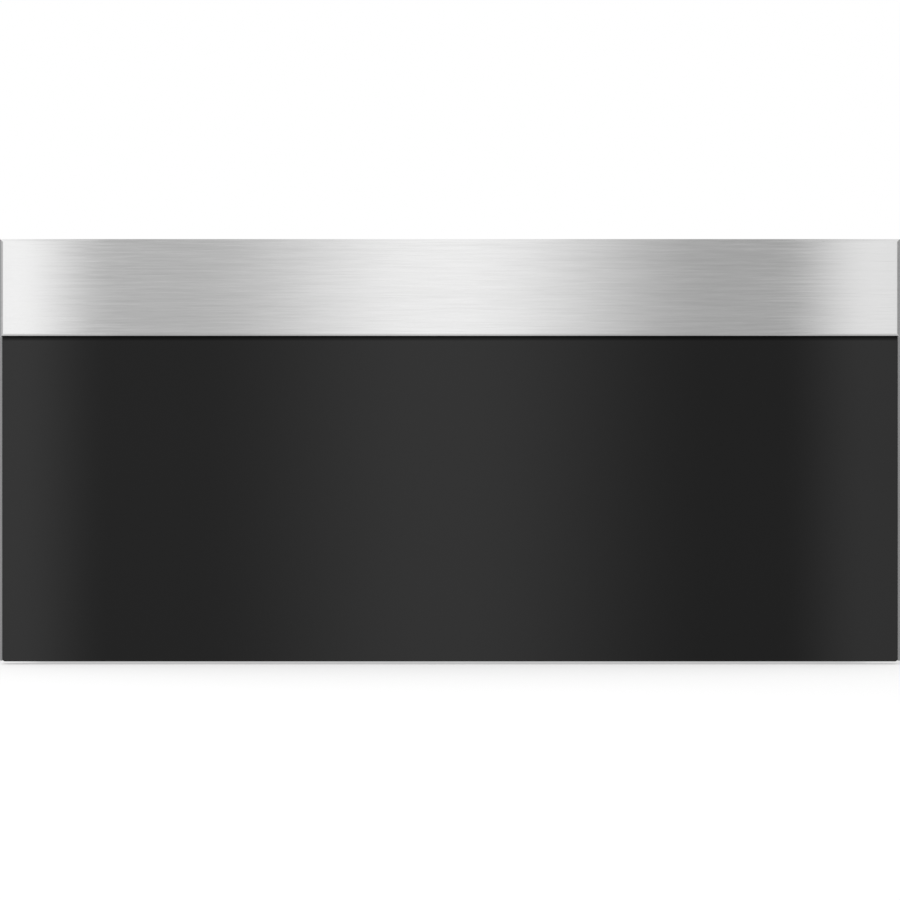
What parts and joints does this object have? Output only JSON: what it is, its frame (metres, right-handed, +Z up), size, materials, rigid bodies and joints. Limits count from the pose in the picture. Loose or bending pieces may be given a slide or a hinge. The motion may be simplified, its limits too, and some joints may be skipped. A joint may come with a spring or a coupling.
{
  "type": "warming drawer",
  "caption": "Built-in warming drawer: handleless push-to-open front of black glass under a brushed steel band, on full-extension runners, with a fan-assisted heater.",
  "frame": {"origin": "middle of the footprint, on the surface that the feet stand on", "axes": "+X to the right as seen from the front, +Y to the rear, +Z up; the front faces -Y and the drawer opens along -Y"},
  "size_m": [0.595, 0.57, 0.2811],
  "materials": {
    "galvanised_steel": "galvanised sheet, dull",
    "stainless_brushed": "horizontal fine brushing, satin",
    "stainless_sheet": "plain mill finish, satin",
    "black_glass": "polished black, opaque",
    "trim_metal": "satin",
    "carrier_steel": "zinc plated, dull",
    "rubber_black": "matt",
    "mat_rubber": "matt, moulded pattern",
    "plastic_black": "fine grain",
    "plastic_white": "fine grain",
    "mineral_fibre": "felted",
    "zinc_runner": "bright zinc",
    "cage_steel": "zinc plated, with bright balls",
    "chrome_wire": "bright chrome",
    "zinc_screw": "bright zinc",
    "spring_steel": "bright wire",
    "core_steel": "laminated, oiled",
    "coil_copper": "enamelled wire and tape",
    "fan_aluminium": "pressed, bright",
    "heater_sheath": "heat darkened",
    "board_green": "solder mask",
    "component_black": "moulded"
  },
  "bodies": {
    "housing": {"casing_base": "galvanised_steel", "casing_side_left": "galvanised_steel", "casing_side_right": "galvanised_steel", "casing_top": "galvanised_steel", "casing_back": "galvanised_steel", "front_frame": "stainless_sheet", "feet": "rubber_black", "rear_spacers": "plastic_black", "liner_side_left": "stainless_sheet", "liner_side_right": "stainless_sheet", "liner_top": "stainless_sheet", "insulation_top": "mineral_fibre", "insulation_sides": "mineral_fibre", "air_baffle": "stainless_sheet", "fan_shroud": "galvanised_steel", "motor_stator": "core_steel", "motor_coil": "coil_copper", "motor_bracket": "galvanised_steel", "heater_ring": "heater_sheath", "thermal_cutout": "plastic_white", "air_sensor": "zinc_screw", "power_tray": "plastic_white", "power_board": "board_green", "power_board_parts": "component_black", "terminal_block": "plastic_white", "cable_gland": "plastic_black", "runner_outer_left": "zinc_runner", "runner_outer_right": "zinc_runner", "push_latch_body": "plastic_black", "ejector_plunger": "plastic_white", "ejector_spring": "spring_steel", "front_buffers": "rubber_black", "housing_screws": "zinc_screw"},
    "drawer": {"runner_inner_left": "zinc_runner", "runner_inner_right": "zinc_runner", "drawer_base": "stainless_sheet", "drawer_side_left": "stainless_sheet", "drawer_side_right": "stainless_sheet", "drawer_back": "stainless_sheet", "drawer_front_inner": "stainless_sheet", "front_insulation": "mineral_fibre", "front_carrier": "carrier_steel", "front_glass": "black_glass", "steel_band": "stainless_brushed", "side_trims": "trim_metal", "control_tray": "plastic_black", "control_glass": "black_glass", "control_board": "board_green", "drawer_seal": "rubber_black", "antislip_mat": "mat_rubber", "wire_rack": "chrome_wire", "rack_legs": "chrome_wire", "push_striker": "zinc_screw", "drawer_screws": "zinc_screw"},
    "middle_rails": {"runner_middle_left": "zinc_runner", "runner_middle_right": "zinc_runner"},
    "outer_cages": {"outer_ball_cages": "cage_steel"},
    "inner_cages": {"inner_ball_cages": "cage_steel"},
    "fan": {"motor_rotor": "core_steel", "fan_wheel": "fan_aluminium"}
  },
  "joints": [
    {"name": "drawer_slide", "type": "slide", "parent": "housing", "child": "drawer", "axis": [0, -1, 0], "range_m": [-0.003, 0.42]},
    {"name": "middle_slide", "type": "slide", "parent": "housing", "child": "middle_rails", "axis": [0, -1, 0], "range_m": [-0.0015, 0.21]},
    {"name": "outer_cage_slide", "type": "slide", "parent": "housing", "child": "outer_cages", "axis": [0, -1, 0], "range_m": [-0.00075, 0.105]},
    {"name": "inner_cage_slide", "type": "slide", "parent": "housing", "child": "inner_cages", "axis": [0, -1, 0], "range_m": [-0.00225, 0.315]},
    {"name": "fan_spin", "type": "hinge", "parent": "housing", "child": "fan", "pos_m": [0, 0.226, 0.135], "axis": [0, 1, 0], "continuous": true}
  ],
  "couplings": [
    {"joint": "middle_slide", "follows": "drawer_slide", "ratio": 0.5},
    {"joint": "outer_cage_slide", "follows": "drawer_slide", "ratio": 0.25},
    {"joint": "inner_cage_slide", "follows": "drawer_slide", "ratio": 0.75}
  ]
}
